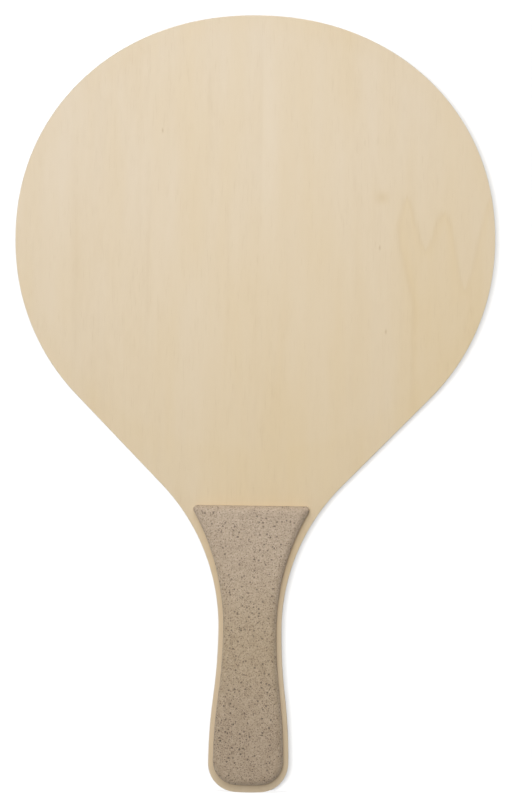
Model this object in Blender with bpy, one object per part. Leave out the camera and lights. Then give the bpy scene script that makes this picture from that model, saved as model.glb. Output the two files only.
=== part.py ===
"""Wooden beach paddle: a five-ply blank with a moulded grip shell on each face of its tang.

Metres, +Z up. The paddle stands on its butt end at the origin. Its plain front face looks
along -Y, its printed rear face along +Y.
"""

import math

import bmesh
import bpy

# Outline of the wooden blank, from the butt end upwards
HANDLE_LENGTH = 0.0801  # butt end to the narrowest point of the neck
NECK_WIDTH = 0.0307
NECK_RADIUS = 0.1001  # concave sweep from the neck into the flank
FLANK_ANGLE = math.radians(44.4)  # of the straight flank, from the long axis
BLADE_WIDTH = 0.2347
BLADE_DROP = 0.1115  # half height of the lower oval that the flanks run into
CROWN_RISE = 0.1097  # widest point of the blade up to its crown
LOWER_FULLNESS = 2.05  # superellipse exponents, where 2 is a plain ellipse
CROWN_FULLNESS = 2.09
BELLY_WIDTH = 0.0391  # widest point of the handle, just above the butt
BUTT_CORNER_RADIUS = 0.0140
BUTT_END_RADIUS = 0.0944

# Plies of the blank
FACE_PLY = 0.0010
CROSS_PLY = 0.0012
CORE_PLY = 0.0012
GLUE_LINE = 0.0001
RIM_ROUNDING = 0.0004  # eased outer edge of both face plies

# Moulded grip shells
GRIP_THICKNESS = 0.0060
GRIP_REVEAL = 0.0024  # bare wood left beside the grip
GRIP_BUTT_REVEAL = 0.0038  # bare wood left below the grip
GRIP_RISE = 0.0602  # neck up to the grip's straight top edge
GRIP_SWEEP_RADIUS = 0.116  # concave sides of the grip above the neck
GRIP_CORNER_RADIUS = 0.0020
GRIP_EDGE_RADIUS = 0.0035
GRIP_WALL = 0.0022
POCKET_CORNER_RADIUS = 0.0006
POCKET_DRAFT = 0.0003  # how far the pocket walls lean in over the pocket's depth
RIB_THICKNESS = 0.0014

# Moulded pegs of the front grip and their sockets in the rear grip
PEG_COUNT = 3
PEG_DIAMETER = 0.0050
PEG_END_DISTANCE = 0.022  # outer pegs from the two ends of the grip
PEG_REACH = 0.0030  # into the rear grip
PEG_LEAD = 0.0005  # chamfer on the peg's tip
PEG_CLEARANCE = 0.0003
BOSS_WALL = 0.0020

# Facets of the curves
CROWN_STEPS = 27
SHOULDER_STEPS = 12
SWEEP_STEPS = 12
FLARE_STEPS = 4
BUTT_CORNER_STEPS = 8
BUTT_END_STEPS = 2
GRIP_CORNER_STEPS = 4
EDGE_STEPS = 5
RIM_STEPS = 3
CIRCLE_STEPS = 24
SHARP_ANGLE = math.radians(35)
CUTTER_OVERRUN = 0.002  # how far a cutter passes the face it cuts through
SAME_POINT = 1e-7

# Colours in sRGB, 0 to 255
FACE_COLOUR = (226, 208, 178)
CROSS_COLOUR = (205, 180, 143)
CORE_COLOUR = (216, 194, 160)
GRIP_COLOUR = (170, 152, 131)
WOOD_ROUGHNESS = 0.55
GRIP_ROUGHNESS = 0.6

# Places that follow from the sizes above
NECK_HALF = NECK_WIDTH / 2
BELLY_HALF = BELLY_WIDTH / 2
BLADE_HALF = BLADE_WIDTH / 2
BUTT_SPAN = BUTT_END_RADIUS - BUTT_CORNER_RADIUS
BUTT_CORNER_X = BELLY_HALF - BUTT_CORNER_RADIUS
BELLY_Z = BUTT_END_RADIUS - math.sqrt(BUTT_SPAN ** 2 - BUTT_CORNER_X ** 2)
GRIP_LIFT = GRIP_BUTT_REVEAL - GRIP_REVEAL
GRIP_TOP = HANDLE_LENGTH + GRIP_RISE
BLANK_THICKNESS = 2 * FACE_PLY + 2 * CROSS_PLY + CORE_PLY + 4 * GLUE_LINE
GRIP_SEAT = BLANK_THICKNESS / 2 + GLUE_LINE
POCKET_DEPTH = GRIP_THICKNESS - GRIP_WALL
HOLE_RADIUS = PEG_DIAMETER / 2 + PEG_CLEARANCE
BOSS_RADIUS = HOLE_RADIUS + BOSS_WALL


def clear_scene():
    """Remove whatever the scene starts with."""
    for item in list(bpy.data.objects):
        bpy.data.objects.remove(item)


def arc(centre, radius, start, end, steps):
    """Points along an arc in the XZ plane, both ends included."""
    points = []
    for index in range(steps + 1):
        angle = start + (end - start) * index / steps
        points.append((centre[0] + radius * math.cos(angle), centre[1] + radius * math.sin(angle)))
    return points


def oval(height, fullness, centre_z, start, end, steps):
    """Points along a superellipse as wide as the blade, with angles from its widest point."""
    power = 2 / fullness
    points = []
    for index in range(steps + 1):
        angle = start + (end - start) * index / steps
        x = BLADE_HALF * max(math.cos(angle), 0) ** power
        z = centre_z + height * max(math.sin(angle), 0) ** power
        points.append((x, z))
    return points


def mirrored_loop(runs):
    """One closed loop from the runs of its right-hand side, listed from top to bottom."""
    right = list(runs[0])
    for run in runs[1:]:
        joined = math.dist(right[-1], run[0]) < SAME_POINT
        right += run[1:] if joined else run
    left = [(-x, z) for x, z in reversed(right[1:-1])]
    return right + left


def handle_runs(inset, lift):
    """Right-hand side of the handle from the neck to the butt, set in from the wooden rim.

    Its round end is lifted as well.
    """
    swell = BELLY_HALF - NECK_HALF
    length = HANDLE_LENGTH - BELLY_Z
    flare_radius = (length ** 2 + swell ** 2) / (4 * swell)
    flare_angle = math.asin(length / 2 / flare_radius)
    hollow_centre = (NECK_HALF + flare_radius, HANDLE_LENGTH)
    swell_centre = (BELLY_HALF - flare_radius, BELLY_Z)
    corner_reach = flare_radius - BUTT_CORNER_RADIUS
    corner_angle = math.asin(lift / corner_reach)
    corner_x = swell_centre[0] + corner_reach * math.cos(corner_angle)
    corner_centre = (corner_x, BELLY_Z + lift)
    end_drop = math.sqrt(BUTT_SPAN ** 2 - corner_x ** 2)
    end_centre = (0, corner_centre[1] + end_drop)
    end_angle = math.atan2(-end_drop, corner_x)
    return [
        arc(hollow_centre, flare_radius + inset, math.pi, math.pi + flare_angle, FLARE_STEPS),
        arc(swell_centre, flare_radius - inset, flare_angle, corner_angle, FLARE_STEPS),
        arc(corner_centre, BUTT_CORNER_RADIUS - inset, corner_angle, end_angle, BUTT_CORNER_STEPS),
        arc(end_centre, BUTT_END_RADIUS - inset, end_angle, -math.pi / 2, BUTT_END_STEPS),
    ]


def blank_loop():
    """Outline of the wooden blank: oval blade, straight flanks, swept neck and flared handle."""
    sweep_centre = (NECK_HALF + NECK_RADIUS, HANDLE_LENGTH)
    sweep = arc(sweep_centre, NECK_RADIUS, math.pi - FLANK_ANGLE, math.pi, SWEEP_STEPS)
    slope = math.tan(FLANK_ANGLE)
    tangent_power = LOWER_FULLNESS / (2 * (LOWER_FULLNESS - 1))
    tangent = math.atan((slope * BLADE_DROP / BLADE_HALF) ** tangent_power)
    shoulder = oval(-BLADE_DROP, LOWER_FULLNESS, 0, 0, tangent, SHOULDER_STEPS)
    flank_run = (shoulder[-1][0] - sweep[0][0]) / slope
    widest_z = sweep[0][1] + flank_run - shoulder[-1][1]
    shoulder = [(x, z + widest_z) for x, z in shoulder]
    crown = oval(CROWN_RISE, CROWN_FULLNESS, widest_z, math.pi / 2, 0, CROWN_STEPS)
    crown[0] = (0, widest_z + CROWN_RISE)
    return mirrored_loop([crown, shoulder, sweep] + handle_runs(0, 0))


def grip_loop(inset, corner):
    """Outline of the grip set in by some distance: straight top, swept sides and round butt."""
    sweep_centre = (NECK_HALF - GRIP_REVEAL + GRIP_SWEEP_RADIUS, HANDLE_LENGTH)
    sweep_radius = GRIP_SWEEP_RADIUS + inset
    top = GRIP_TOP - inset
    corner_z = top - corner
    corner_reach = math.sqrt((sweep_radius + corner) ** 2 - (corner_z - HANDLE_LENGTH) ** 2)
    corner_centre = (sweep_centre[0] - corner_reach, corner_z)
    bearing = math.atan2(corner_z - HANDLE_LENGTH, -corner_reach)
    top_corner = arc(corner_centre, corner, math.pi / 2, bearing - math.pi, GRIP_CORNER_STEPS)
    sweep = arc(sweep_centre, sweep_radius, bearing, math.pi, SWEEP_STEPS)
    handle = handle_runs(GRIP_REVEAL + inset, GRIP_LIFT)
    return mirrored_loop([[(0, top)], top_corner, sweep] + handle)


def circle_loop(radius, z):
    """A circle on the paddle's centre line, at a height."""
    return arc((0, z), radius, 0, -2 * math.pi, CIRCLE_STEPS)[:-1]


def inset_loop(loop, distance):
    """A clockwise loop moved inwards by a small distance along its normals."""
    moved = []
    for index, (x, z) in enumerate(loop):
        before = loop[index - 1]
        after = loop[(index + 1) % len(loop)]
        length = math.dist(before, after)
        across = (after[1] - before[1]) / length
        along = (before[0] - after[0]) / length
        moved.append((x + distance * across, z + distance * along))
    return moved


def peg_heights():
    """Heights of the pegs, evenly spaced between the two ends of the grip."""
    lowest = GRIP_BUTT_REVEAL + PEG_END_DISTANCE
    pitch = (GRIP_TOP - PEG_END_DISTANCE - lowest) / (PEG_COUNT - 1)
    return [lowest + index * pitch for index in range(PEG_COUNT)]


def rib_heights():
    """Heights of the cross ribs: one through each peg and one midway between pegs."""
    pegs = peg_heights()
    midway = [(low + high) / 2 for low, high in zip(pegs, pegs[1:])]
    return pegs + midway


def rounding(radius, steps):
    """Pairs of inset and rise that turn a side wall into a flat face with a quarter round."""
    pairs = []
    for index in range(steps + 1):
        angle = math.pi / 2 * index / steps
        pairs.append((radius * (1 - math.cos(angle)), radius * math.sin(angle)))
    return pairs


def add_loft(shape, rings):
    """Skin one closed body through matching rings, each a loop of XZ points at its own Y.

    Its walls are shaded smooth, and its two end faces flat.
    """
    rows = []
    for loop, y in rings:
        rows.append([shape.verts.new((x, y, z)) for x, z in loop])
    for low, high in zip(rows, rows[1:]):
        for index, corner in enumerate(low):
            wall = shape.faces.new((low[index - 1], corner, high[index], high[index - 1]))
            wall.smooth = True
    shape.faces.new(rows[0])
    shape.faces.new(rows[-1])


def lofted(name, bodies):
    """An object with one lofted body for each list of rings."""
    shape = bmesh.new()
    for rings in bodies:
        add_loft(shape, rings)
    bmesh.ops.recalc_face_normals(shape, faces=shape.faces)
    for edge in shape.edges:
        edge.smooth = edge.calc_face_angle() < SHARP_ANGLE
    mesh = bpy.data.meshes.new(name)
    shape.to_mesh(mesh)
    shape.free()
    item = bpy.data.objects.new(name, mesh)
    bpy.context.collection.objects.link(item)
    return item


def tool(name, bodies):
    """A lofted object that only shapes other objects."""
    item = lofted(name, bodies)
    item.hide_render = True
    item.display_type = "WIRE"
    return item


def shape_with(item, operation, helper):
    """Join or cut an object with a helper."""
    modifier = item.modifiers.new(helper.name, "BOOLEAN")
    modifier.operation = operation
    modifier.object = helper


def linear(colour):
    """An sRGB colour as the linear RGBA that a shader takes."""
    channels = []
    for value in colour:
        share = value / 255
        channels.append(share / 12.92 if share <= 0.04045 else ((share + 0.055) / 1.055) ** 2.4)
    return (*channels, 1)


def make_material(name, colour, roughness):
    """A plain dielectric material."""
    material = bpy.data.materials.new(name)
    material.use_nodes = True
    shader = material.node_tree.nodes["Principled BSDF"]
    shader.inputs["Base Color"].default_value = linear(colour)
    shader.inputs["Roughness"].default_value = roughness
    shader.inputs["Metallic"].default_value = 0
    return material


def square_ply_rings(thickness):
    """Rings of an inner ply, square at its rim."""
    loop = blank_loop()
    return [(loop, 0), (loop, thickness)]


def face_ply_rings(side):
    """Rings of a face ply, from its glued face to its outer face with an eased rim."""
    loop = blank_loop()
    wall = FACE_PLY - RIM_ROUNDING
    rings = [(loop, 0)]
    for inset, rise in rounding(RIM_ROUNDING, RIM_STEPS):
        rings.append((inset_loop(loop, inset), side * (wall + rise)))
    return rings


def make_ply(name, rings, y, material, root, peg_holes):
    """One ply of the blank, glued face at a given Y, drilled for the pegs."""
    ply = lofted(name, [rings])
    ply.location.y = y
    ply.parent = root
    ply.data.materials.append(material)
    shape_with(ply, "DIFFERENCE", peg_holes)
    return ply


def make_blank(root):
    """The five plies, from the front face to the rear face."""
    face_wood = make_material("face_wood", FACE_COLOUR, WOOD_ROUGHNESS)
    cross_wood = make_material("cross_wood", CROSS_COLOUR, WOOD_ROUGHNESS)
    core_wood = make_material("core_wood", CORE_COLOUR, WOOD_ROUGHNESS)
    reach = BLANK_THICKNESS / 2 + CUTTER_OVERRUN
    drills = []
    for height in peg_heights():
        drills.append([(circle_loop(HOLE_RADIUS, height), y) for y in (-reach, reach)])
    peg_holes = tool("peg_hole_drill", drills)
    face_y = BLANK_THICKNESS / 2 - FACE_PLY
    cross_y = CORE_PLY / 2 + GLUE_LINE
    cross = square_ply_rings(CROSS_PLY)
    core = square_ply_rings(CORE_PLY)
    make_ply("front_face_veneer", face_ply_rings(-1), -face_y, face_wood, root, peg_holes)
    make_ply("front_crossband", cross, -cross_y - CROSS_PLY, cross_wood, root, peg_holes)
    make_ply("core_ply", core, -CORE_PLY / 2, core_wood, root, peg_holes)
    make_ply("rear_crossband", cross, cross_y, cross_wood, root, peg_holes)
    make_ply("rear_face_veneer", face_ply_rings(1), face_y, face_wood, root, peg_holes)


def grip_rings(side):
    """Rings of a grip's outer form, from its seat on the wood to its flat outer face."""
    wall = GRIP_THICKNESS - GRIP_EDGE_RADIUS
    rings = [(grip_loop(0, GRIP_CORNER_RADIUS), 0)]
    for inset, rise in rounding(GRIP_EDGE_RADIUS, EDGE_STEPS):
        corner = max(GRIP_CORNER_RADIUS - inset, POCKET_CORNER_RADIUS)
        rings.append((grip_loop(inset, corner), side * (wall + rise)))
    return rings


def bar_rings(low, high, half_length, side):
    """Rings of a straight rib across the pocket, between two heights."""
    loop = [(-half_length, high), (half_length, high), (half_length, low), (-half_length, low)]
    return [(loop, -side * CUTTER_OVERRUN), (loop, side * (POCKET_DEPTH + CUTTER_OVERRUN))]


def make_pocket(name, side):
    """The space inside a grip shell, without its ribs and peg bosses."""
    depths = (-side * CUTTER_OVERRUN, side * (POCKET_DEPTH + CUTTER_OVERRUN))
    half_rib = RIB_THICKNESS / 2
    mouth = grip_loop(GRIP_WALL, POCKET_CORNER_RADIUS)
    floor = grip_loop(GRIP_WALL + POCKET_DRAFT, POCKET_CORNER_RADIUS)
    pocket = tool(name + "_pocket", [[(mouth, depths[0]), (mouth, 0), (floor, side * POCKET_DEPTH)]])
    cross_bars = [bar_rings(z - half_rib, z + half_rib, BLADE_HALF, side) for z in rib_heights()]
    spine_bar = bar_rings(0, GRIP_TOP, half_rib, side)
    posts = []
    for height in peg_heights():
        posts.append([(circle_loop(BOSS_RADIUS, height), y) for y in depths])
    for label, bodies in (("cross_ribs", cross_bars), ("spine", [spine_bar]), ("bosses", posts)):
        helper = tool(name + "_" + label, bodies)
        helper.parent = pocket
        shape_with(pocket, "DIFFERENCE", helper)
    return pocket


def make_grip(name, side, material, root):
    """A moulded shell seated on one face of the tang, ribbed inside."""
    grip = lofted(name, [grip_rings(side)])
    grip.location.y = side * GRIP_SEAT
    grip.parent = root
    grip.data.materials.append(material)
    pocket = make_pocket(name, side)
    pocket.parent = grip
    shape_with(grip, "DIFFERENCE", pocket)
    return grip


def add_pegs(grip):
    """Pegs on the front grip, which pass through the tang into the rear grip."""
    root_y = -POCKET_DEPTH / 2
    tip_y = 2 * GRIP_SEAT + PEG_REACH
    radius = PEG_DIAMETER / 2
    bodies = []
    for height in peg_heights():
        shank = circle_loop(radius, height)
        tip = circle_loop(radius - PEG_LEAD, height)
        bodies.append([(shank, root_y), (shank, tip_y - PEG_LEAD), (tip, tip_y)])
    pegs = tool(grip.name + "_pegs", bodies)
    pegs.parent = grip
    shape_with(grip, "UNION", pegs)


def add_sockets(grip):
    """Blind sockets in the bosses of the rear grip, with clearance round each peg."""
    depth = PEG_REACH + PEG_CLEARANCE
    bodies = []
    for height in peg_heights():
        mouth = circle_loop(HOLE_RADIUS, height)
        bodies.append([(mouth, -CUTTER_OVERRUN), (mouth, depth)])
    sockets = tool(grip.name + "_socket_drill", bodies)
    sockets.parent = grip
    shape_with(grip, "DIFFERENCE", sockets)


def make_grips(root):
    """The front grip with its pegs and the rear grip with their sockets."""
    composite = make_material("speckled_composite", GRIP_COLOUR, GRIP_ROUGHNESS)
    add_pegs(make_grip("front_grip", -1, composite, root))
    add_sockets(make_grip("rear_grip", 1, composite, root))


def main():
    """Build the paddle."""
    clear_scene()
    root = bpy.data.objects.new("beach_paddle", None)
    bpy.context.collection.objects.link(root)
    make_blank(root)
    make_grips(root)


main()
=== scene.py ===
"""Looks of a wooden beach paddle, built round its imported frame.

Metres, +Z up, in the frame's own axes: the plain front face looks along -Y, the printed rear
face along +Y.
"""

import math

import bmesh
import bpy
from mathutils import Matrix, Vector


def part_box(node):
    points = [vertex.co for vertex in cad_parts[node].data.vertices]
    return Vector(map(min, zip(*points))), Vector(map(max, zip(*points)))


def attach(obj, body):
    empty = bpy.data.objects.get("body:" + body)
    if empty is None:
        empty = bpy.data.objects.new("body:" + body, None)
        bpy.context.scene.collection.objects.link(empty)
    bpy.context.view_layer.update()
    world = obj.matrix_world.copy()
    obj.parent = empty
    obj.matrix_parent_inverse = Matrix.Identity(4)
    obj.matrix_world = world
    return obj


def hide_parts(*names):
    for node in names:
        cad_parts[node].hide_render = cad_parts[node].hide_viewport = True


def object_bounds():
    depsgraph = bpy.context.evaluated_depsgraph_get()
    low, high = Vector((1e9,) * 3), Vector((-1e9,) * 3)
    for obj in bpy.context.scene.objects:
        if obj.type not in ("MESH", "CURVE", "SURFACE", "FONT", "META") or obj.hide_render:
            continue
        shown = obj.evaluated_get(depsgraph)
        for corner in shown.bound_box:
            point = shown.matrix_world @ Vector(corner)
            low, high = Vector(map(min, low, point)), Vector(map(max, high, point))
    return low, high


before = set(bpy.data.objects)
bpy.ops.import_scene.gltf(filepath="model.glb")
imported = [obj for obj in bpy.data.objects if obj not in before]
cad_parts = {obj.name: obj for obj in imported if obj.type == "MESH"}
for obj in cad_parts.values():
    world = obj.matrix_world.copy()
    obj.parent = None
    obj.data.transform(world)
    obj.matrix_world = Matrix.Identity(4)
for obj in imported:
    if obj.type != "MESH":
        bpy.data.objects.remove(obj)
CAD_LOW, CAD_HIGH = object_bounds()

# Sizes read from the frame
PLY_NODES = ("front_face_veneer", "front_crossband", "core_ply", "rear_crossband", "rear_face_veneer")
PLY_SPANS = [(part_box(node)[0].y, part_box(node)[1].y) for node in PLY_NODES]
GRIP_LOW, GRIP_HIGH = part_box("rear_grip")
BLADE_HALF = CAD_HIGH.x
WOOD_FACE = PLY_SPANS[-1][1]
GRIP_FACE = GRIP_HIGH.y
GRIP_TOP = GRIP_HIGH.z

# Outline of the wooden blank, from the butt end upwards, as in the frame
HANDLE_LENGTH = 0.0801
NECK_HALF = 0.0307 / 2
NECK_RADIUS = 0.1001
FLANK_ANGLE = math.radians(44.4)
BLADE_DROP = 0.1115
CROWN_RISE = 0.1097
LOWER_FULLNESS = 2.05
CROWN_FULLNESS = 2.09
BELLY_HALF = 0.0391 / 2
BUTT_CORNER_RADIUS = 0.0140
BUTT_END_RADIUS = 0.0944
BUTT_SPAN = BUTT_END_RADIUS - BUTT_CORNER_RADIUS
BUTT_CORNER_X = BELLY_HALF - BUTT_CORNER_RADIUS
BELLY_Z = BUTT_END_RADIUS - math.sqrt(BUTT_SPAN ** 2 - BUTT_CORNER_X ** 2)

# Edges of the wood
RIM_ROUNDING = 0.0002
SANDING = 0.18  # how far hand sanding changes that rounding
SANDING_WAVES = ((0.5, 7, 1.0), (0.3, 17, 2.3), (0.2, 41, 0.0))  # share, waves round the rim, phase
GLUE_GROOVE = 0.00006  # depth and half width of the line at each glue joint

# Grip shells
GRIP_REVEAL = 0.0024  # bare wood beside the grip
GRIP_LIFT = GRIP_LOW.z - GRIP_REVEAL  # how much more is bare below it
GRIP_SWEEP_RADIUS = 0.116
GRIP_CORNER_RADIUS = 0.0020
GRIP_LEAST_CORNER = 0.0006
GRIP_EDGE_RADIUS = 0.0035
GRIP_FOOT = 0.0001  # chamfer where the shell meets the wood

# Printed chessboard
SQUARE = 0.0193
SQUARES = 8
FRAME_LINE = 0.0008
BOARD_Z = 0.2690

# Facets of the curves
CROWN_STEPS = 72
SHOULDER_STEPS = 30
SWEEP_STEPS = 28
FLARE_STEPS = 10
BUTT_CORNER_STEPS = 18
BUTT_END_STEPS = 6
GRIP_CORNER_STEPS = 8
EDGE_STEPS = 12
RIM_STEPS = 6
SHARP_ANGLE = math.radians(35)
SAME_POINT = 1e-7

# The photograph's frame, and where the paddle lies in it
FRAME_HEIGHT_PX = 800
FRAME_CENTRE_PX = (266, 400)
WIDEST_POINT_PX = (254.86, 239.627)
METRES_PER_PX = 0.000488894
ROLL = math.radians(0.746)
YAW = math.radians(1.8)  # the camera stands that far to the right
CAMERA_DISTANCE = 2.0
SENSOR_MM = 36

# Light, in shares of the plain level at which a colour renders as it is written
AMBIENT = 0.25
AMBIENT_TILT = 0.4  # how much stronger it is from the side that follows
LIGHT_FROM = (-1.0, 0.0, 0.0)
AMBIENT_BEHIND = 0.68  # added by pale surroundings behind the paddle
BEHIND_RISE = (-0.1, 0.5)  # +Y of the directions in which that begins and is full
LAMP_AIM = Vector((0, 0, 0.27))
LAMP_SIZE = 0.45

# Lamps round the paddle: name, place, level
PADDLE_LAMPS = (
    ("front_key", Vector((-0.05, -0.52, 0.41)), 0.51),
    ("side_key", Vector((-0.21, -2.49, 0.40)), 0.28),
    ("top_fill", Vector((0.0, 0.0, 1.50)), 0.24),
    ("back_key", Vector((0.42, 0.68, 0.40)), 0.26),
)

# Stage: pale paper with some light of its own, and its own lamps for the paddle's shadow on it
BACKDROP_GAP = 0.0004
BACKDROP_Y = CAD_HIGH.y + BACKDROP_GAP
BACKDROP_SIZE = 1.2
BACKDROP_TURN = math.radians(0.3)
BACKDROP_LEAN = math.radians(0.5)
FLOOR_SIZE = 3.0
BACKDROP_GLOW = 0.41
FLOOR_GLOW = 0.84
PAPER_TONE = 0.2
STRIP_LAMP = Vector((-0.14, -3.0, 0.32))
STRIP_SIZE = (0.88, 0.02)
STRIP_LEVEL = 3.0
FLOOR_LAMP = Vector((-0.5, -1.7, 2.3))
FLOOR_LAMP_SIZE = (0.6, 0.6)
FLOOR_LEVEL = 1.9

# Colours in sRGB, 0 to 255
VENEER_DARK = (202, 178, 143)
VENEER_MID = (228.5, 212, 187)
VENEER_LIGHT = (240, 227, 207)
END_GRAIN = (176, 143, 101)
CROSS_DARK = (178, 145, 102)
CROSS_LIGHT = (222, 200, 164)
INK = (23, 21, 21)
INK_THIN = (92, 82, 70)
GRIP_DARK = (148, 128, 107)
GRIP_MID = (192, 172.5, 150)
GRIP_LIGHT = (224, 207, 186)
SPECK = (62, 49, 42)
FLAKE = (90, 71, 59)

# Linear tints of the warmest wood, of painted shade at the grip's lower end and of the middle that the
# hand holds
WARM = (0.95, 0.86, 0.61, 1)
GRIP_LOW_SHADE = (0.87, 0.85, 0.81, 1)
GRIP_HELD = (0.99, 0.98, 0.91, 1)

# Where the hand holds the grip: middle height and half length
GRIP_HELD_Z = 0.072
GRIP_HELD_HALF = 0.030

# Where each material is cut from its noise
CROSS_SEED = 0.0
CORE_SEED = 5.0
FRONT_WOOD_SEED = 0.37
REAR_WOOD_SEED = 4.19
FRONT_GRIP_SEED = 1.3
REAR_GRIP_SEED = 8.6

# Shaders: the middle of a ramp, the usual detail of noise, and the colour sockets of a Mix node
MID_TONE = 0.5
NOISE_DETAIL = 2.0
MIX_FIRST = 6
MIX_SECOND = 7
MIX_RESULT = 2


def arc(centre, radius, start, end, steps):
    """Points along an arc in the XZ plane, both ends included."""
    points = []
    for index in range(steps + 1):
        angle = start + (end - start) * index / steps
        points.append((centre[0] + radius * math.cos(angle), centre[1] + radius * math.sin(angle)))
    return points


def oval(height, fullness, centre_z, start, end, steps):
    """Points along a superellipse as wide as the blade, with angles from its widest point."""
    power = 2 / fullness
    points = []
    for index in range(steps + 1):
        angle = start + (end - start) * index / steps
        x = BLADE_HALF * max(math.cos(angle), 0) ** power
        z = centre_z + height * max(math.sin(angle), 0) ** power
        points.append((x, z))
    return points


def mirrored_loop(runs):
    """One closed loop from the runs of its right-hand side, listed from top to bottom."""
    right = list(runs[0])
    for run in runs[1:]:
        joined = math.dist(right[-1], run[0]) < SAME_POINT
        right += run[1:] if joined else run
    left = [(-x, z) for x, z in reversed(right[1:-1])]
    return right + left


def handle_runs(inset, lift):
    """Right-hand side of the handle from the neck to the butt, set in from the wooden rim.

    Its round end is lifted as well.
    """
    swell = BELLY_HALF - NECK_HALF
    length = HANDLE_LENGTH - BELLY_Z
    flare_radius = (length ** 2 + swell ** 2) / (4 * swell)
    flare_angle = math.asin(length / 2 / flare_radius)
    hollow_centre = (NECK_HALF + flare_radius, HANDLE_LENGTH)
    swell_centre = (BELLY_HALF - flare_radius, BELLY_Z)
    corner_reach = flare_radius - BUTT_CORNER_RADIUS
    corner_angle = math.asin(lift / corner_reach)
    corner_x = swell_centre[0] + corner_reach * math.cos(corner_angle)
    corner_centre = (corner_x, BELLY_Z + lift)
    end_drop = math.sqrt(BUTT_SPAN ** 2 - corner_x ** 2)
    end_centre = (0, corner_centre[1] + end_drop)
    end_angle = math.atan2(-end_drop, corner_x)
    return [
        arc(hollow_centre, flare_radius + inset, math.pi, math.pi + flare_angle, FLARE_STEPS),
        arc(swell_centre, flare_radius - inset, flare_angle, corner_angle, FLARE_STEPS),
        arc(corner_centre, BUTT_CORNER_RADIUS - inset, corner_angle, end_angle, BUTT_CORNER_STEPS),
        arc(end_centre, BUTT_END_RADIUS - inset, end_angle, -math.pi / 2, BUTT_END_STEPS),
    ]


def widest_height(shoulder, sweep):
    """Height of the blade's widest point, where straight flanks join shoulder and neck."""
    flank_run = (shoulder[-1][0] - sweep[0][0]) / math.tan(FLANK_ANGLE)
    return sweep[0][1] + flank_run - shoulder[-1][1]


def blank_runs():
    """Right-hand side of the blank above the neck, and the height of its widest point."""
    sweep_centre = (NECK_HALF + NECK_RADIUS, HANDLE_LENGTH)
    sweep = arc(sweep_centre, NECK_RADIUS, math.pi - FLANK_ANGLE, math.pi, SWEEP_STEPS)
    tangent_power = LOWER_FULLNESS / (2 * (LOWER_FULLNESS - 1))
    tangent = math.atan((math.tan(FLANK_ANGLE) * BLADE_DROP / BLADE_HALF) ** tangent_power)
    shoulder = oval(-BLADE_DROP, LOWER_FULLNESS, 0, 0, tangent, SHOULDER_STEPS)
    widest_z = widest_height(shoulder, sweep)
    shoulder = [(x, z + widest_z) for x, z in shoulder]
    crown = oval(CROWN_RISE, CROWN_FULLNESS, widest_z, math.pi / 2, 0, CROWN_STEPS)
    crown[0] = (0, widest_z + CROWN_RISE)
    return [crown, shoulder, sweep], widest_z


def blank_loop():
    """Outline of the wooden blank: oval blade, straight flanks, swept neck and flared handle."""
    runs, _ = blank_runs()
    return mirrored_loop(runs + handle_runs(0, 0))


def grip_loop(inset, corner):
    """Outline of the grip set in by some distance: straight top, swept sides and round butt."""
    sweep_centre = (NECK_HALF - GRIP_REVEAL + GRIP_SWEEP_RADIUS, HANDLE_LENGTH)
    sweep_radius = GRIP_SWEEP_RADIUS + inset
    top = GRIP_TOP - inset
    corner_z = top - corner
    corner_reach = math.sqrt((sweep_radius + corner) ** 2 - (corner_z - HANDLE_LENGTH) ** 2)
    corner_centre = (sweep_centre[0] - corner_reach, corner_z)
    bearing = math.atan2(corner_z - HANDLE_LENGTH, -corner_reach)
    top_corner = arc(corner_centre, corner, math.pi / 2, bearing - math.pi, GRIP_CORNER_STEPS)
    sweep = arc(sweep_centre, sweep_radius, bearing, math.pi, SWEEP_STEPS)
    handle = handle_runs(GRIP_REVEAL + inset, GRIP_LIFT)
    return mirrored_loop([[(0, top)], top_corner, sweep] + handle)


def inset_loop(loop, distances):
    """A clockwise loop moved inwards along its normals, by a distance for each point."""
    moved = []
    for index, (x, z) in enumerate(loop):
        before = loop[index - 1]
        after = loop[(index + 1) % len(loop)]
        length = math.dist(before, after)
        across = (after[1] - before[1]) / length
        along = (before[0] - after[0]) / length
        moved.append((x + distances[index] * across, z + distances[index] * along))
    return moved


def sanding(count):
    """How much rounder or sharper than usual the rim is at each point round the blank."""
    shares = []
    for index in range(count):
        turn = 2 * math.pi * index / count
        wobble = sum(share * math.sin(waves * turn + phase) for share, waves, phase in SANDING_WAVES)
        shares.append(1 + SANDING * wobble)
    return shares


def rounding(radius, steps):
    """Pairs of inset and rise that turn a side wall into a flat face with a quarter round."""
    pairs = []
    for index in range(steps + 1):
        angle = math.pi / 2 * index / steps
        pairs.append((radius * (1 - math.cos(angle)), radius * math.sin(angle)))
    return pairs


def add_walls(shape, rings):
    """Smooth walls through matching rings, each a loop of XZ points at its own Y; returns rows."""
    rows = []
    for loop, y in rings:
        rows.append([shape.verts.new((x, y, z)) for x, z in loop])
    for low, high in zip(rows, rows[1:]):
        for index, corner in enumerate(low):
            wall = shape.faces.new((low[index - 1], corner, high[index], high[index - 1]))
            wall.smooth = True
    return rows


def finish_piece(shape, name, node, materials):
    """Turn a finished shape into a piece that rides on the frame in place of a node."""
    bmesh.ops.recalc_face_normals(shape, faces=shape.faces)
    for edge in shape.edges:
        edge.smooth = edge.calc_face_angle() < SHARP_ANGLE
    mesh = bpy.data.meshes.new(name)
    shape.to_mesh(mesh)
    shape.free()
    for material in materials:
        mesh.materials.append(material)
    piece = bpy.data.objects.new(name, mesh)
    bpy.context.collection.objects.link(piece)
    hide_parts(node)
    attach(piece, "root")
    return piece


def glue_planes():
    """Y of the glue joints, midway between one ply and the next."""
    return [(low[1] + high[0]) / 2 for low, high in zip(PLY_SPANS, PLY_SPANS[1:])]


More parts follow.
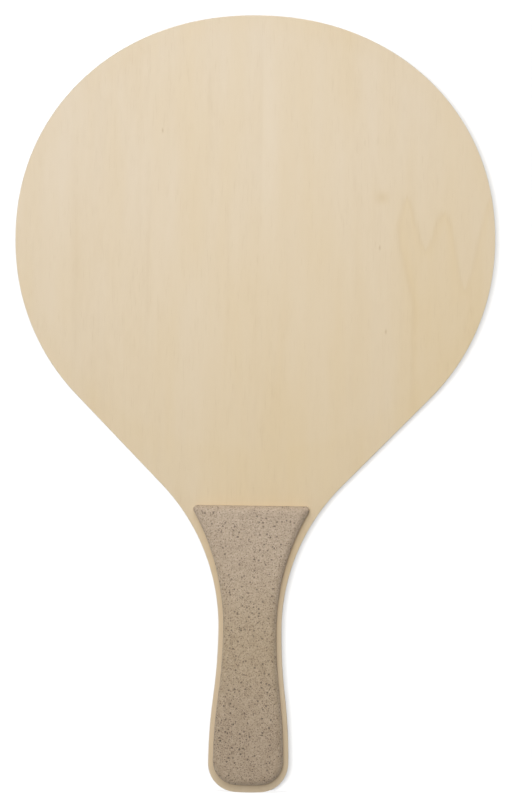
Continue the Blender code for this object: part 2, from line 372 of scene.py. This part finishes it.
def inner_ply_rings(low, high):
    """Rings of an inner ply whose rim dips into the glue joint at both faces."""
    loop = blank_loop()
    dipped = inset_loop(loop, [GLUE_GROOVE] * len(loop))
    return [(dipped, low), (loop, low + GLUE_GROOVE), (loop, high - GLUE_GROOVE), (dipped, high)]


def face_ply_rings(glued, outer):
    """Rings of a face ply, from its glue joint to its outer face with a hand-sanded rim."""
    loop = blank_loop()
    side = math.copysign(1, outer)
    wear = sanding(len(loop))
    dipped = inset_loop(loop, [GLUE_GROOVE] * len(loop))
    wall_end = outer - side * RIM_ROUNDING
    rings = [(dipped, glued), (loop, glued + side * GLUE_GROOVE)]
    for inset, rise in rounding(RIM_ROUNDING, RIM_STEPS):
        rings.append((inset_loop(loop, [inset * share for share in wear]), wall_end + side * rise))
    return rings


def make_inner_ply(name, node, low, high, material):
    """A ply that shows only at the rim."""
    shape = bmesh.new()
    rows = add_walls(shape, inner_ply_rings(low, high))
    shape.faces.new(rows[0])
    shape.faces.new(rows[-1])
    return finish_piece(shape, name, node, [material])


def make_front_veneer(glued, material):
    """The plain face ply."""
    shape = bmesh.new()
    rows = add_walls(shape, face_ply_rings(glued, PLY_SPANS[0][0]))
    shape.faces.new(rows[0])
    shape.faces.new(rows[-1])
    return finish_piece(shape, "front_veneer", PLY_NODES[0], [material])


def board_lines():
    """Places of the board's lines along one side: frame, squares, frame."""
    half = SQUARES / 2 * SQUARE
    between = [(index + 1) * SQUARE - half for index in range(SQUARES - 1)]
    return [-half, FRAME_LINE - half] + between + [half - FRAME_LINE, half]


def add_board(shape, rim, y):
    """The printed face: squares and their frame, let into the flat face inside the rim."""
    lines = board_lines()
    last = len(lines) - 1
    grid = [[shape.verts.new((x, y, BOARD_Z + z)) for x in lines] for z in lines]
    for row in range(last):
        lower = grid[row]
        upper = grid[row + 1]
        for column in range(last):
            corners = (lower[column], lower[column + 1], upper[column + 1], upper[column])
            framed = row in (0, last - 1) or column in (0, last - 1)
            face = shape.faces.new(corners)
            face.material_index = int(framed or (row + column) % 2 == 1)
    middle = last // 2
    half = len(rim) // 2
    right_edge = [line[last] for line in grid[1:]]
    left_edge = [line[0] for line in grid[:last]]
    right_side = grid[0][middle:] + right_edge + grid[last][middle:last][::-1]
    left_side = grid[last][:middle + 1][::-1] + left_edge[::-1] + grid[0][1:middle + 1]
    shape.faces.new(rim[:half + 1] + right_side)
    shape.faces.new(rim[half:] + rim[:1] + left_side)


def make_rear_veneer(glued, wood, ink):
    """The face ply that carries the chessboard."""
    shape = bmesh.new()
    outer = PLY_SPANS[-1][1]
    rows = add_walls(shape, face_ply_rings(glued, outer))
    shape.faces.new(rows[0])
    add_board(shape, rows[-1], outer)
    return finish_piece(shape, "rear_veneer", PLY_NODES[-1], [wood, ink])


def make_grip(name, node, side, material):
    """A moulded shell with a soft outer edge, seated on one face of the tang."""
    seat = side * WOOD_FACE
    wall_end = side * (GRIP_FACE - GRIP_EDGE_RADIUS)
    rings = [(grip_loop(GRIP_FOOT, GRIP_CORNER_RADIUS), seat)]
    rings.append((grip_loop(0, GRIP_CORNER_RADIUS), seat + side * GRIP_FOOT))
    for inset, rise in rounding(GRIP_EDGE_RADIUS, EDGE_STEPS):
        corner = max(GRIP_CORNER_RADIUS - inset, GRIP_LEAST_CORNER)
        rings.append((grip_loop(inset, corner), wall_end + side * rise))
    shape = bmesh.new()
    rows = add_walls(shape, rings)
    shape.faces.new(rows[0])
    shape.faces.new(rows[-1])
    return finish_piece(shape, name, node, [material])


def linear(colour):
    """An sRGB colour as the linear RGBA that a shader takes."""
    channels = []
    for value in colour:
        share = value / 255
        channels.append(share / 12.92 if share <= 0.04045 else ((share + 0.055) / 1.055) ** 2.4)
    return (*channels, 1)


def feed(tree, socket, value):
    """Give a socket a field, another socket or a plain value."""
    if isinstance(value, Field):
        value = value.socket
    if isinstance(value, bpy.types.NodeSocket):
        tree.links.new(value, socket)
    else:
        socket.default_value = value


class Field:
    """A number that varies over a surface: a socket that ordinary arithmetic works on."""

    def __init__(self, tree, socket):
        self.tree = tree
        self.socket = socket

    def math(self, operation, *others):
        node = self.tree.nodes.new("ShaderNodeMath")
        node.operation = operation
        for socket, value in zip(node.inputs, (self, *others)):
            feed(self.tree, socket, value)
        return Field(self.tree, node.outputs[0])

    def __add__(self, other):
        return self.math("ADD", other)

    def __sub__(self, other):
        return self.math("SUBTRACT", other)

    def __mul__(self, other):
        return self.math("MULTIPLY", other)

    def __truediv__(self, other):
        return self.math("DIVIDE", other)

    def bell(self, width):
        """1 at zero, falling away smoothly over a width."""
        share = self / width
        return (share * share * -1).math("EXPONENT")

    def rise(self, low, high):
        """0 up to one value and 1 from another, smooth between them."""
        node = self.tree.nodes.new("ShaderNodeMapRange")
        node.interpolation_type = "SMOOTHSTEP"
        for name, value in (("Value", self), ("From Min", low), ("From Max", high)):
            feed(self.tree, node.inputs[name], value)
        return Field(self.tree, node.outputs["Result"])


class Surface:
    """A material under construction, with the fields that its pattern is drawn from."""

    def __init__(self, name, roughness, specular):
        self.material = bpy.data.materials.new(name)
        self.material.use_nodes = True
        self.tree = self.material.node_tree
        self.shader = self.tree.nodes["Principled BSDF"]
        self.shader.inputs["Roughness"].default_value = roughness
        self.shader.inputs["Specular IOR Level"].default_value = specular
        place = self.tree.nodes.new("ShaderNodeTexCoord").outputs["Object"]
        facing = self.tree.nodes.new("ShaderNodeNewGeometry").outputs["Normal"]
        self.x, self.y, self.z = self.split(place)
        self.facing_x, _, self.facing_z = self.split(facing)

    def split(self, vector):
        """The three fields of a vector."""
        node = self.tree.nodes.new("ShaderNodeSeparateXYZ")
        feed(self.tree, node.inputs[0], vector)
        return [Field(self.tree, socket) for socket in node.outputs]

    def vector(self, x, y, z):
        """A vector of three fields."""
        node = self.tree.nodes.new("ShaderNodeCombineXYZ")
        for socket, value in zip(node.inputs, (x, y, z)):
            feed(self.tree, socket, value)
        return node.outputs[0]

    def noise(self, x, y, z, detail=NOISE_DETAIL):
        """Cloudy noise about zero, from -0.5 to 0.5, one cloud per unit of its coordinates."""
        node = self.tree.nodes.new("ShaderNodeTexNoise")
        feed(self.tree, node.inputs["Vector"], self.vector(x, y, z))
        node.inputs["Scale"].default_value = 1
        node.inputs["Detail"].default_value = detail
        return Field(self.tree, node.outputs["Fac"]) - 0.5

    def cells(self, x, y, z):
        """Distance to the middle of the nearest cell, and two random numbers for that cell."""
        node = self.tree.nodes.new("ShaderNodeTexVoronoi")
        feed(self.tree, node.inputs["Vector"], self.vector(x, y, z))
        node.inputs["Scale"].default_value = 1
        chances = self.split(node.outputs["Color"])
        return Field(self.tree, node.outputs["Distance"]), chances[0], chances[1]

    def mixed(self, share, first, second, blend="MIX"):
        """A colour between two colours, or the first one blended with the second."""
        node = self.tree.nodes.new("ShaderNodeMix")
        node.data_type = "RGBA"
        node.blend_type = blend
        feed(self.tree, node.inputs["Factor"], share)
        feed(self.tree, node.inputs[MIX_FIRST], first)
        feed(self.tree, node.inputs[MIX_SECOND], second)
        return node.outputs[MIX_RESULT]

    def ramp(self, share, colours):
        """A colour from an even ramp of sRGB colours."""
        node = self.tree.nodes.new("ShaderNodeValToRGB")
        feed(self.tree, node.inputs["Fac"], share)
        stops = node.color_ramp.elements
        while len(stops) < len(colours):
            stops.new(MID_TONE)
        for index, colour in enumerate(colours):
            stops[index].position = index / (len(colours) - 1)
            stops[index].color = linear(colour)
        return node.outputs["Color"]

    def finish(self, colour, height, relief):
        """Give the shader its colour and a relief of some metres, and return the material."""
        feed(self.tree, self.shader.inputs["Base Color"], colour)
        bump = self.tree.nodes.new("ShaderNodeBump")
        bump.inputs["Distance"].default_value = relief
        feed(self.tree, bump.inputs["Height"], height)
        feed(self.tree, self.shader.inputs["Normal"], bump.outputs["Normal"])
        return self.material


# Veneer: roughness and specular level, share of end grain at the rim, and relief in metres
VENEER_GLOSS = (0.58, 0.25)
VENEER_END_SHARE = 0.35
VENEER_RELIEF = 0.00002

# Grain of the veneers: clouds per metre across and along the grain, and their share of the tone
BANDS = (26, 1.6, 0.11)
STREAKS = (140, 5, 0.05)
FLECKS = (420, 110, 0.08)
FIBRES = (900, 40, 0.045)
GRAIN_DEPTH = 600  # clouds per metre through the thickness
WANDER = (9, 3.2, 0.006)  # clouds likewise, and how far the grain strays sideways
DEEPER = (14, 6, 1.8)  # clouds likewise, and how much stronger the fine grain grows there
FIBRE_RELIEF = 4  # height of the fibres beside the depth of the pores

# Pores of the veneers: clouds per metre, detail, where a pore begins and is full, tone
PORES = (2600, 120)
PORE_DETAIL = 1.0
PORE_RISE = (0.12, 0.25)
PORE_TONE = 0.06

# Warmth of the front veneer, which grows towards the lower right: partly the wood's own colour, partly
# painted shade where the light falls off
WARM_SHADE_ACROSS = 0.90
WARM_SHADE_DOWN = 1.44
WARM_FROM_Z = 0.27
WARM_MIDDLE = (0.06, 0.08)  # half width and warmth of its warmer middle
WARM_ENDS_Z = (0.040, 0.150)  # the handle's wood is paler again
WIDEST_Z = CAD_HIGH.z - CROWN_RISE
RIM_WARMTH = 0.07
RIM_WARM_FROM = (0.90, 0.98)  # shares of the way from the blade's middle to its rim
RIM_WARM_Z = (0.120, 0.180)

# Warmth of both veneers: its mean, then clouds per metre across and along, and their share
WARMTH = 0.23
WARM_CLOUDS = ((22, 5, 0.48), (90, 14, 0.40))

# Faint streaks of the front veneer: x, middle height, half length, width, tone
LONG_STREAKS = (
    (-0.0879, 0.254, 0.045, 0.0022, -0.045),
    (-0.0522, 0.255, 0.045, 0.0010, -0.040),
    (-0.0231, 0.342, 0.030, 0.0014, -0.050),
    (-0.0131, 0.258, 0.038, 0.0012, -0.045),
)

# Paler band of the front veneer, sharp at its left edge and fading to the right
STEP_X = 0.0026
STEP_EDGE = 0.0012
STEP_WIDTH = 0.020
STEP_Z = 0.315
STEP_HALF_LENGTH = 0.055
STEP_TONE = 0.07

# Small knot of the front veneer
KNOT_X = 0.0619
KNOT_Z = 0.2916
KNOT_RADIUS = 0.0030
KNOT_WARMTH = 0.20
KNOT_TONE = -0.10

# Painted shade that darkens the front wood towards the handle: tone, and the heights where it begins
# and is full
HANDLE_SHADE_TONE = -0.17
HANDLE_SHADE_Z = (0.158, 0.110)

# Pin marks of the front veneer: x and height of each
PINS = ((-0.0458, 0.3233), (0.0611, 0.2671), (0.0646, 0.2261))
PIN_WIDTH = 0.0004
PIN_LENGTH = 0.0011
PIN_TONE = -0.35

# Peaked growth-ring figure of the front veneer: x, rise and width of each peak or dip
FLAME_BASE = 0.262
FLAME_PEAKS = (
    (0.0744, 0.0287, 0.00565),
    (0.0926, 0.0231, 0.00636),
    (0.1035, -0.0220, 0.00600),
    (0.1180, 0.0320, 0.01100),
)
FLAME_EDGE = 0.0018
FLAME_DEPTH = 0.0032  # over which its warmth fades inwards
FLAME_CORE = 0.25  # share of the warmth that stays
FLAME_WARMTH = 0.23
FLAME_LINE = 0.0012
FLAME_TONE = -0.042
FLAME_WANDER = (130, 60, 0.0030)  # clouds per metre across and along, and how far they move it
FLAME_FEATHER = (800, 20, 0.011)  # likewise, for the fine teeth of its outline
FLAME_FADE = (0.15, 0.25)

# Left leg of that figure: its x, and how far and between which heights it bends
LEFT_LEG_X = 0.0776
LEFT_LEG_SHIFT = -0.0074
LEFT_LEG_BEND = (0.235, 0.277)


def grain_tone(surface, seed):
    """Tone of straight-grained veneer about zero, and the fine part that has relief."""
    x, y, z = surface.x + seed, surface.y * GRAIN_DEPTH + seed, surface.z
    x = x + surface.noise(x * WANDER[0], seed, z * WANDER[1]) * WANDER[2]
    layers = []
    for across, along, share in (BANDS, STREAKS, FLECKS, FIBRES):
        layers.append(surface.noise(x * across, y, z * along) * share)
    bands, streaks, flecks, fibres = layers
    pores = surface.noise(x * PORES[0], y, z * PORES[1], PORE_DETAIL).rise(*PORE_RISE)
    depth = surface.noise(x * DEEPER[0], seed, z * DEEPER[1]) * DEEPER[2] + 1
    fine = (flecks + fibres - pores * PORE_TONE) * depth
    return bands + streaks + fine, fibres * FIBRE_RELIEF - pores


def warm_clouds(surface, seed):
    """How warm a veneer is from place to place."""
    layers = []
    for across, along, share in WARM_CLOUDS:
        layers.append(surface.noise(surface.x * across, seed, surface.z * along) * share)
    broad, narrow = layers
    return broad + narrow + WARMTH


def warmth_and_shade_drift(surface):
    """How the front veneer grows warmer towards the lower right, its middle and its rim; towards the
    lower right this is partly painted shade.
    """
    down = surface.z * -1 + WARM_FROM_Z
    width, share = WARM_MIDDLE
    # partly painted shade: warmer and a little darker towards the lower right, away from the light
    drift = surface.x * WARM_SHADE_ACROSS + down * WARM_SHADE_DOWN + surface.x.bell(width) * share
    aside = surface.x / BLADE_HALF
    above = (surface.z - WIDEST_Z) / CROWN_RISE
    reach = (aside * aside + above * above).math("SQRT")
    rim = reach.rise(*RIM_WARM_FROM) * surface.z.rise(*RIM_WARM_Z) * RIM_WARMTH
    return drift * surface.z.rise(*WARM_ENDS_Z) + rim


def flame_outside(surface):
    """Distance outwards from the peaked figure's outline and its left leg."""
    x, z = surface.x, surface.z
    across, along, reach = FLAME_FEATHER
    z = z + surface.noise(x * across, 0.0, z * along) * reach
    across, along, reach = FLAME_WANDER
    x = x + surface.noise(x * across, 0.0, z * along) * reach
    height = z - FLAME_BASE
    slope = None
    for place, rise, width in FLAME_PEAKS:
        away = x - place
        peak = away.bell(width) * rise
        fall = peak * away * (2 / width ** 2)
        height = height - peak
        slope = fall if slope is None else slope + fall
    distance = height / (slope * slope + 1).math("SQRT")
    leg = z.rise(*LEFT_LEG_BEND) * LEFT_LEG_SHIFT + LEFT_LEG_X
    return distance.math("MAXIMUM", leg - x)


def flame(surface):
    """Warmth and tone of the peaked growth-ring figure at the right of the front veneer."""
    outside = flame_outside(surface)
    fade = surface.z.rise(*FLAME_FADE)
    inwards = outside.math("MINIMUM", 0) / FLAME_DEPTH
    ring = inwards.math("EXPONENT") * (1 - FLAME_CORE) + FLAME_CORE
    inside = outside.rise(FLAME_EDGE, -FLAME_EDGE) * ring * fade
    return inside * FLAME_WARMTH, outside.bell(FLAME_LINE) * fade * FLAME_TONE


def marks(surface):
    """Warmth and tone of the front veneer's figure, knot, painted shade on the handle, streaks, pale
    band and pin marks.
    """
    x, z = surface.x, surface.z
    warmth, tone = flame(surface)
    knot = (x - KNOT_X).bell(KNOT_RADIUS) * (z - KNOT_Z).bell(KNOT_RADIUS)
    warmth = warmth + knot * KNOT_WARMTH
    tone = tone + knot * KNOT_TONE
    # painted shade: the front wood grows darker towards the handle
    tone = tone + z.rise(*HANDLE_SHADE_Z) * HANDLE_SHADE_TONE
    for place, middle, half_length, width, share in LONG_STREAKS:
        tone = tone + (x - place).bell(width) * (z - middle).bell(half_length) * share
    step = (x - STEP_X).rise(0, STEP_EDGE) * (x - STEP_X).rise(STEP_WIDTH, STEP_EDGE)
    tone = tone + step * (z - STEP_Z).bell(STEP_HALF_LENGTH) * STEP_TONE
    for pin_x, pin_z in PINS:
        tone = tone + (x - pin_x).bell(PIN_WIDTH) * (z - pin_z).bell(PIN_LENGTH) * PIN_TONE
    return warmth, tone


def make_veneer(name, seed, marked):
    """Pale straight-grained veneer, darker where its rim shows end grain."""
    surface = Surface(name, *VENEER_GLOSS)
    tone, fine = grain_tone(surface, seed)
    warmth = warm_clouds(surface, seed)
    if marked:
        mark_warmth, mark_tone = marks(surface)
        warmth = warmth + warmth_and_shade_drift(surface) + mark_warmth
        tone = tone + mark_tone
    colour = surface.ramp(tone + MID_TONE, (VENEER_DARK, VENEER_MID, VENEER_LIGHT))
    colour = surface.mixed(warmth, colour, WARM, "MULTIPLY")
    end = surface.facing_z * surface.facing_z * VENEER_END_SHARE
    return surface.finish(surface.mixed(end, colour, linear(END_GRAIN)), fine, VENEER_RELIEF)


# Rims of the inner plies: gloss, clouds per metre, shares of the tone, and relief in metres
PLY_GLOSS = (0.65, 0.2)
PLY_DOTS = 2200
PLY_ALONG = 40
PLY_ACROSS = 900
PLY_DEPTH = 3000
PLY_DOT_TONE = 0.9
PLY_LINE_TONE = 0.5
PLY_RELIEF = 0.00003

# Tone of a ply's long grain, and what its end grain adds
CROSS_TONES = (0.75, -0.45)
CORE_TONES = (0.85, -0.4)


def ply_rim(surface, seed, x_clouds, z_clouds, facing, tones):
    """Rim of a ply, with end grain where it faces along the grain."""
    x, y, z = surface.x, surface.y, surface.z
    dots = surface.noise(x * PLY_DOTS, y * PLY_DOTS + seed, z * PLY_DOTS)
    lines = surface.noise(x * x_clouds, y * PLY_DEPTH + seed, z * z_clouds)
    end = facing * facing
    long_tone, end_tone = tones
    tone = dots * end * PLY_DOT_TONE + lines * PLY_LINE_TONE + (end * end_tone + long_tone)
    return surface.finish(surface.ramp(tone, (CROSS_DARK, CROSS_LIGHT)), dots, PLY_RELIEF)


def make_cross_ply(name, seed):
    """Edge of a crossband: end grain on the blade's sides, long grain at crown and butt."""
    surface = Surface(name, *PLY_GLOSS)
    return ply_rim(surface, seed, PLY_ALONG, PLY_ACROSS, surface.facing_x, CROSS_TONES)


def make_core_ply(name, seed):
    """Edge of the core: long grain on the blade's sides, end grain at crown and butt."""
    surface = Surface(name, *PLY_GLOSS)
    return ply_rim(surface, seed, PLY_ACROSS, PLY_ALONG, surface.facing_z, CORE_TONES)


# Ink of the chessboard: gloss, clouds per metre across and along with their share, and relief
INK_GLOSS = (0.5, 0.12)
INK_GRAIN = (900, 22, 0.16)
INK_SPOTS = (1500, 700, 0.5)
INK_SPOT_RISE = (0.21, 0.30)
INK_THINNESS = 0.06
INK_RELIEF = 0.00001


def make_ink(name):
    """Matt screen-print ink, thin enough for the grain to show a little."""
    surface = Surface(name, *INK_GLOSS)
    across, along, grain_share = INK_GRAIN
    grain = surface.noise(surface.x * across, surface.y, surface.z * along)
    across, along, spot_share = INK_SPOTS
    spots = surface.noise(surface.x * across, surface.y, surface.z * along).rise(*INK_SPOT_RISE)
    thin = grain * grain_share + INK_THINNESS + spots * spot_share
    return surface.finish(surface.mixed(thin, linear(INK), linear(INK_THIN)), grain, INK_RELIEF)


# Composite of the grip: roughness and specular level, and relief in metres
COMPOSITE_GLOSS = (0.62, 0.3)
COMPOSITE_RELIEF = 0.00008

# Its mottle and dust: clouds per metre, share of the tone, detail
MOTTLE = (260, 0.40, 3.0)
DUST = (1100, 0.90, 2.0)

# Specks of the grip: cells per metre, radius in metres, share of cells with one, strength, colour
SPECK_LAYERS = (
    (1100, 0.00024, 0.40, 0.50, GRIP_LIGHT),
    (1600, 0.00017, 0.70, 0.58, FLAKE),
    (950, 0.00028, 0.70, 0.60, FLAKE),
    (480, 0.00041, 0.85, 0.56, SPECK),
)
SPECK_RAGS = 3  # clouds to a cell in a speck's ragged outline
SPECK_GIRTH = (0.5, 0.7)  # least radius and what chance adds, in shares of the layer's radius
SPECK_SOFTNESS = 0.3  # softness of its edge, likewise
SPECK_CHANCE = 0.01  # softness of the share of cells
CROWDS = (70, 1.2)  # clouds per metre in which specks crowd, and how far
BUTT_CROWDING = 0.12  # more specks near the butt
BUTT_STRENGTH = 0.25  # and stronger ones
BUTT_CROWD_Z = (0.075, 0.030)


def specks(surface, seed, density, radius, share, strength):
    """Where a layer of ragged specks lies: its strength inside a speck and 0 outside."""
    x, y, z = (field * density + seed for field in (surface.x, surface.y, surface.z))
    reach = radius * density
    ragged = surface.noise(x * SPECK_RAGS, y * SPECK_RAGS, z * SPECK_RAGS) * reach
    distance, chance, girth = surface.cells(x, y, z)
    least, more = SPECK_GIRTH
    outside = distance + ragged - (girth * more + least) * reach
    inside = outside.rise(reach * SPECK_SOFTNESS, reach * -SPECK_SOFTNESS)
    clouds, swing = CROWDS
    crowd = surface.noise(surface.x * clouds, surface.y * clouds + seed, surface.z * clouds) * swing
    near_butt = surface.z.rise(*BUTT_CROWD_Z)
    crowd = crowd + near_butt * BUTT_CROWDING
    depth = (near_butt * BUTT_STRENGTH + 1) * strength
    present = (chance + crowd).rise(1 - share - SPECK_CHANCE, 1 - share + SPECK_CHANCE)
    return inside * present * depth


def cloud_tone(surface, seed, clouds, share, detail):
    """Clouds of one size, and the tone that they add."""
    x, y, z = (field + seed for field in (surface.x, surface.y, surface.z))
    cloud = surface.noise(x * clouds, y * clouds, z * clouds, detail)
    return cloud, cloud * share


def make_composite(name, seed):
    """Moulded plant-fibre composite: mottled grey beige with dark and pale specks, and painted shade
    towards its lower end.
    """
    surface = Surface(name, *COMPOSITE_GLOSS)
    mottle, mottle_tone = cloud_tone(surface, seed, *MOTTLE)
    dust, dust_tone = cloud_tone(surface, seed, *DUST)
    tone = mottle_tone + dust_tone + MID_TONE
    colour = surface.ramp(tone, (GRIP_DARK, GRIP_MID, GRIP_LIGHT))
    for density, radius, share, strength, speck_colour in SPECK_LAYERS:
        where = specks(surface, seed, density, radius, share, strength)
        colour = surface.mixed(where, colour, linear(speck_colour))
    # painted shade: the grip grows darker towards its lower end, where the light falls off
    lower_shade = surface.z.rise(GRIP_TOP, 0)
    colour = surface.mixed(lower_shade, colour, GRIP_LOW_SHADE, "MULTIPLY")
    held = (surface.z - GRIP_HELD_Z).bell(GRIP_HELD_HALF)
    colour = surface.mixed(held, colour, GRIP_HELD, "MULTIPLY")
    return surface.finish(colour, mottle + dust, COMPOSITE_RELIEF)


def make_paddle():
    """All the pieces of the paddle."""
    glue = glue_planes()
    cross = make_cross_ply("cross_ply_edge", CROSS_SEED)
    core = make_core_ply("core_ply_edge", CORE_SEED)
    front_wood = make_veneer("front_veneer_wood", FRONT_WOOD_SEED, True)
    rear_wood = make_veneer("rear_veneer_wood", REAR_WOOD_SEED, False)
    ink = make_ink("board_ink")
    front_composite = make_composite("front_composite", FRONT_GRIP_SEED)
    rear_composite = make_composite("rear_composite", REAR_GRIP_SEED)
    return [
        make_front_veneer(glue[0], front_wood),
        make_inner_ply("front_cross_ply", PLY_NODES[1], glue[0], glue[1], cross),
        make_inner_ply("middle_ply", PLY_NODES[2], glue[1], glue[2], core),
        make_inner_ply("rear_cross_ply", PLY_NODES[3], glue[2], glue[3], cross),
        make_rear_veneer(glue[3], rear_wood, ink),
        make_grip("front_grip_shell", "front_grip", -1, front_composite),
        make_grip("rear_grip_shell", "rear_grip", 1, rear_composite),
    ]


def background_rays(tree):
    """1 for the rays that show the background: seen, mirrored or through glass."""
    path = tree.nodes.new("ShaderNodeLightPath")
    seen = Field(tree, path.outputs["Is Camera Ray"])
    for kind in ("Is Glossy Ray", "Is Transmission Ray"):
        seen = seen.math("MAXIMUM", path.outputs[kind])
    return seen


def make_paper(name, own_glow):
    """White paper that shows from its front only, and neither lights nor shades the paddle."""
    material = bpy.data.materials.new(name)
    material.use_nodes = True
    tree = material.node_tree
    tree.nodes.clear()
    behind = Field(tree, tree.nodes.new("ShaderNodeNewGeometry").outputs["Backfacing"])
    paper = tree.nodes.new("ShaderNodeBsdfDiffuse")
    paper.inputs["Color"].default_value = (PAPER_TONE, PAPER_TONE, PAPER_TONE, 1)
    glow = tree.nodes.new("ShaderNodeEmission")
    glow.inputs["Strength"].default_value = own_glow
    both = tree.nodes.new("ShaderNodeAddShader")
    clear = tree.nodes.new("ShaderNodeBsdfTransparent")
    shown = tree.nodes.new("ShaderNodeMixShader")
    output = tree.nodes.new("ShaderNodeOutputMaterial")
    feed(tree, both.inputs[0], paper.outputs[0])
    feed(tree, both.inputs[1], glow.outputs[0])
    feed(tree, shown.inputs["Fac"], background_rays(tree) * (behind * -1 + 1))
    feed(tree, shown.inputs[1], clear.outputs[0])
    feed(tree, shown.inputs[2], both.outputs[0])
    feed(tree, output.inputs["Surface"], shown.outputs[0])
    return material


def make_sheet(name, size, matrix, material):
    """One flat square sheet of the stage."""
    half = size / 2
    corners = [(-half, -half, 0), (half, -half, 0), (half, half, 0), (-half, half, 0)]
    mesh = bpy.data.meshes.new(name)
    mesh.from_pydata(corners, [], [(0, 1, 2, 3)])
    mesh.materials.append(material)
    sheet = bpy.data.objects.new(name, mesh)
    sheet.matrix_world = matrix
    bpy.context.collection.objects.link(sheet)
    return sheet


def make_stage():
    """A pale floor under the paddle, and paper just behind it that takes its soft shadow."""
    turned = Matrix.Rotation(-BACKDROP_TURN, 4, "Z")
    raised = Matrix.Rotation(math.pi / 2 - BACKDROP_LEAN, 4, "X")
    foot = Matrix.Translation((0, BACKDROP_SIZE / 2, 0))
    behind = Matrix.Translation((0, BACKDROP_Y, 0))
    wall = behind @ turned @ raised @ foot
    return [
        make_sheet("floor", FLOOR_SIZE, Matrix.Identity(4), make_paper("floor_paper", FLOOR_GLOW)),
        make_sheet("backdrop", BACKDROP_SIZE, wall, make_paper("backdrop_paper", BACKDROP_GLOW)),
    ]


def make_world():
    """Soft light from all round, stronger from the left and from behind, on a white background."""
    world = bpy.data.worlds.new("studio")
    world.use_nodes = True
    bpy.context.scene.world = world
    tree = world.node_tree
    tree.nodes.clear()
    direction = tree.nodes.new("ShaderNodeTexCoord").outputs["Generated"]
    toward = tree.nodes.new("ShaderNodeVectorMath")
    toward.operation = "DOT_PRODUCT"
    toward.inputs[1].default_value = LIGHT_FROM
    feed(tree, toward.inputs[0], direction)
    light = tree.nodes.new("ShaderNodeBackground")
    white = tree.nodes.new("ShaderNodeBackground")
    for background in (light, white):
        background.inputs["Color"].default_value = (1, 1, 1, 1)
    apart = tree.nodes.new("ShaderNodeSeparateXYZ")
    feed(tree, apart.inputs[0], direction)
    behind = Field(tree, apart.outputs["Y"]).rise(*BEHIND_RISE) * AMBIENT_BEHIND
    level = (Field(tree, toward.outputs["Value"]) * AMBIENT_TILT + 1) * AMBIENT + behind
    feed(tree, light.inputs["Strength"], level)
    mix = tree.nodes.new("ShaderNodeMixShader")
    output = tree.nodes.new("ShaderNodeOutputWorld")
    feed(tree, mix.inputs["Fac"], background_rays(tree))
    feed(tree, mix.inputs[1], light.outputs[0])
    feed(tree, mix.inputs[2], white.outputs[0])
    feed(tree, output.inputs["Surface"], mix.outputs[0])


def make_lamp(name, place, size, level, lit):
    """A soft lamp that adds its share of the plain level to what it is meant to light."""
    aim = LAMP_AIM - place
    data = bpy.data.lights.new(name, "AREA")
    data.shape = "RECTANGLE"
    data.size, data.size_y = size
    data.energy = level * (math.pi * aim.length) ** 2
    lamp = bpy.data.objects.new(name, data)
    lamp.location = place
    lamp.rotation_euler = aim.to_track_quat("-Z", "Y").to_euler()
    lamp.visible_camera = False
    lamp.light_linking.receiver_collection = lit
    bpy.context.collection.objects.link(lamp)


def group(name, members):
    """A collection that lamps light."""
    collection = bpy.data.collections.new(name)
    for member in members:
        collection.objects.link(member)
    return collection


def make_lamps(pieces, sheets):
    """Soft lamps round the paddle, and one for its shadow on each sheet of the stage."""
    paddle = group("lit_paddle", pieces)
    floor, backdrop = sheets
    for name, place, level in PADDLE_LAMPS:
        make_lamp(name, place, (LAMP_SIZE, LAMP_SIZE), level, paddle)
    make_lamp("strip_lamp", STRIP_LAMP, STRIP_SIZE, STRIP_LEVEL, group("lit_backdrop", [backdrop]))
    make_lamp("floor_lamp", FLOOR_LAMP, FLOOR_LAMP_SIZE, FLOOR_LEVEL, group("lit_floor", [floor]))


def make_camera():
    """The photograph's view of the front face, from a little to the right and slightly rolled."""
    back = Vector((math.sin(YAW), -math.cos(YAW), 0))
    level = Vector((math.cos(YAW), math.sin(YAW), 0))
    upright = Vector((0, 0, 1))
    right = level * math.cos(ROLL) + upright * math.sin(ROLL)
    up = upright * math.cos(ROLL) - level * math.sin(ROLL)
    _, widest_z = blank_runs()
    across = (FRAME_CENTRE_PX[0] - WIDEST_POINT_PX[0]) * METRES_PER_PX
    down = (FRAME_CENTRE_PX[1] - WIDEST_POINT_PX[1]) * METRES_PER_PX
    aim = Vector((0, PLY_SPANS[0][0], widest_z)) + right * across - up * down
    data = bpy.data.cameras.new("camera")
    data.sensor_width = SENSOR_MM
    data.lens = SENSOR_MM * CAMERA_DISTANCE / (FRAME_HEIGHT_PX * METRES_PER_PX)
    camera = bpy.data.objects.new("camera", data)
    turn = Matrix((right, up, back)).transposed().to_4x4()
    camera.matrix_world = Matrix.Translation(aim + back * CAMERA_DISTANCE) @ turn
    bpy.context.collection.objects.link(camera)
    bpy.context.scene.camera = camera


make_world()
make_lamps(make_paddle(), make_stage())
make_camera()
bpy.context.scene.view_settings.view_transform = "Standard"
